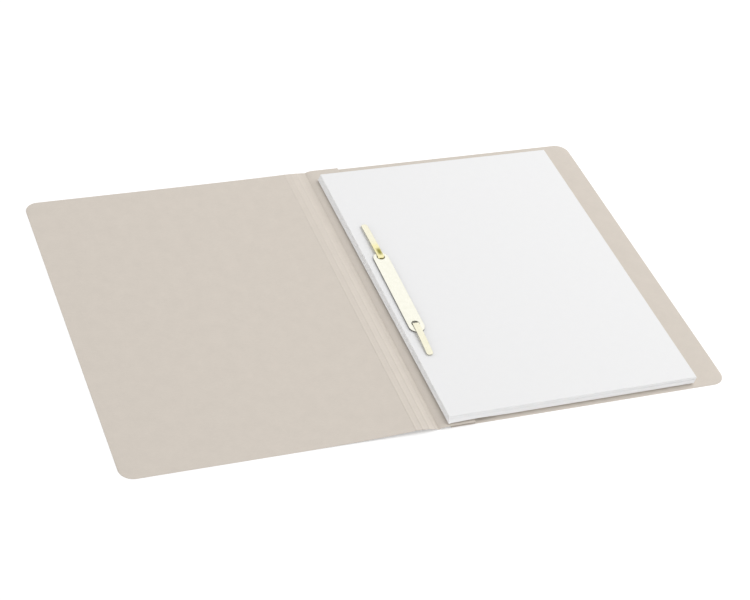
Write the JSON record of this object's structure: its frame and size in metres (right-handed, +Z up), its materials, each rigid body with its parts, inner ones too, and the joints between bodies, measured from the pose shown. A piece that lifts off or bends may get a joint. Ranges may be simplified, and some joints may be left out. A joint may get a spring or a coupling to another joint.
{
  "type": "fastener folder",
  "caption": "Open card folder with a scored spine and a raised filing strip, whose bent-prong metal fastener and compressor bar hold a stack of punched sheets.",
  "frame": {"origin": "middle of the opened folder's outline, on the surface that it lies on", "axes": "+X across the opened folder from the front cover to the back cover, +Y up the page, +Z up from the surface"},
  "size_m": [0.4874, 0.3144, 0.0099],
  "materials": {
    "card": "matte",
    "sheets": "matte",
    "fastener_metal": "satin"
  },
  "bodies": {
    "back": {"back_cover": "card", "filing_strip": "card", "fastener_base": "fastener_metal", "compressor_bar": "fastener_metal", "paper_stack": "sheets", "top_sheet_margin": "sheets"},
    "spine_1": {"spine_panel_1": "card"},
    "spine_2": {"spine_panel_2": "card"},
    "spine_3": {"spine_panel_3": "card"},
    "spine_4": {"spine_panel_4": "card"},
    "cover": {"front_cover": "card"},
    "upper_prong": {"prong_upper": "fastener_metal"},
    "lower_prong": {"prong_lower": "fastener_metal"},
    "leaf": {"top_sheet_leaf": "sheets"}
  },
  "joints": [
    {"name": "hinge_fold", "type": "hinge", "parent": "back", "child": "spine_1", "pos_m": [-0.00235, 0, 0.00015], "axis": [0, 1, 0], "range_deg": [0, 36]},
    {"name": "score_1", "type": "hinge", "parent": "spine_1", "child": "spine_2", "pos_m": [-0.00485, 0, 0.00015], "axis": [0, 1, 0], "range_deg": [0, 36]},
    {"name": "score_2", "type": "hinge", "parent": "spine_2", "child": "spine_3", "pos_m": [-0.01015, 0, 0.00015], "axis": [0, 1, 0], "range_deg": [0, 36]},
    {"name": "score_3", "type": "hinge", "parent": "spine_3", "child": "spine_4", "pos_m": [-0.01545, 0, 0.00015], "axis": [0, 1, 0], "range_deg": [0, 36]},
    {"name": "score_4", "type": "hinge", "parent": "spine_4", "child": "cover", "pos_m": [-0.02075, 0, 0.00015], "axis": [0, 1, 0], "range_deg": [0, 36]},
    {"name": "upper_prong_bend", "type": "hinge", "parent": "back", "child": "upper_prong", "pos_m": [0.01845, 0.02905, 0.00972], "axis": [-1, 0, 0], "range_deg": [-90, 0]},
    {"name": "lower_prong_bend", "type": "hinge", "parent": "back", "child": "lower_prong", "pos_m": [0.01845, -0.05095, 0.00972], "axis": [1, 0, 0], "range_deg": [-90, 0]},
    {"name": "leaf_turn", "type": "hinge", "parent": "back", "child": "leaf", "pos_m": [0.02645, 0, 0.00765], "axis": [0, 1, 0], "range_deg": [-90, 0]}
  ]
}
